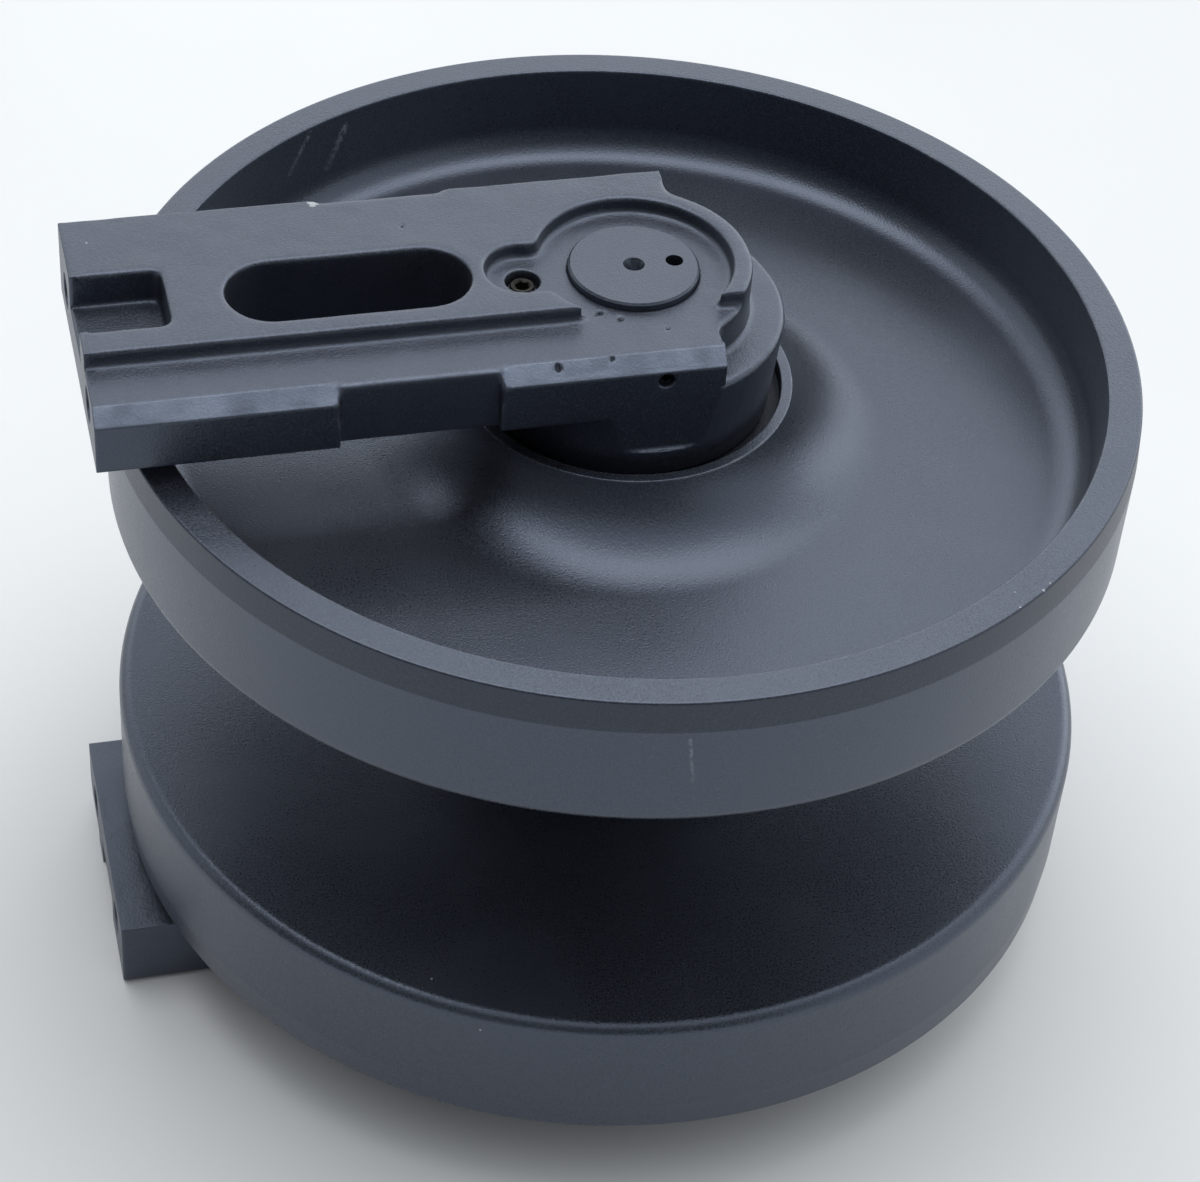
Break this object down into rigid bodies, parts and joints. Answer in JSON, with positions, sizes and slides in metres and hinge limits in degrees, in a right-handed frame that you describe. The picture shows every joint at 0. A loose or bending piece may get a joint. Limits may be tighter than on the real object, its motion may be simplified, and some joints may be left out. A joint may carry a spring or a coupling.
{
  "type": "excavator front idler",
  "caption": "Cast two-rim idler wheel that turns on a sealed fixed axle between guide brackets, and guides and tensions the front of a rubber track.",
  "frame": {"origin": "centre of the wheel, on the axle's axis, midway between the two rims", "axes": "+Z along the axle, up as the idler lies on its side; -X along the brackets towards their end faces; +Y across the guide pads"},
  "size_m": [0.41, 0.4, 0.311],
  "materials": {
    "wheel_paint": "satin black-blue paint over a machined and cast steel wheel",
    "bracket_paint": "satin black-blue paint over rough cast steel",
    "axle_paint": "satin paint over a turned end face, bare ground steel inside",
    "bearing_bronze": "plain bronze, oiled",
    "seal_iron": "lapped hard iron",
    "seal_rubber": "black rubber",
    "pin_steel": "blackened spring steel",
    "plug_steel": "blackened steel with an oily film"
  },
  "bodies": {
    "axle_and_brackets": {"axle_shaft": "axle_paint", "upper_bracket": "bracket_paint", "lower_bracket": "bracket_paint", "upper_fixed_seal_ring": "seal_iron", "lower_fixed_seal_ring": "seal_iron", "upper_fixed_toric": "seal_rubber", "lower_fixed_toric": "seal_rubber", "upper_axle_o_ring": "seal_rubber", "lower_axle_o_ring": "seal_rubber", "upper_lock_pin": "pin_steel", "lower_lock_pin": "pin_steel", "upper_oil_plug": "plug_steel", "lower_oil_plug": "plug_steel"},
    "wheel": {"idler_wheel": "wheel_paint", "upper_bushing": "bearing_bronze", "lower_bushing": "bearing_bronze", "upper_turning_seal_ring": "seal_iron", "lower_turning_seal_ring": "seal_iron", "upper_turning_toric": "seal_rubber", "lower_turning_toric": "seal_rubber"}
  },
  "joints": [
    {"name": "wheel_spin", "type": "hinge", "parent": "axle_and_brackets", "child": "wheel", "pos_m": [0, 0, 0], "axis": [0, 0, 1], "continuous": true}
  ]
}
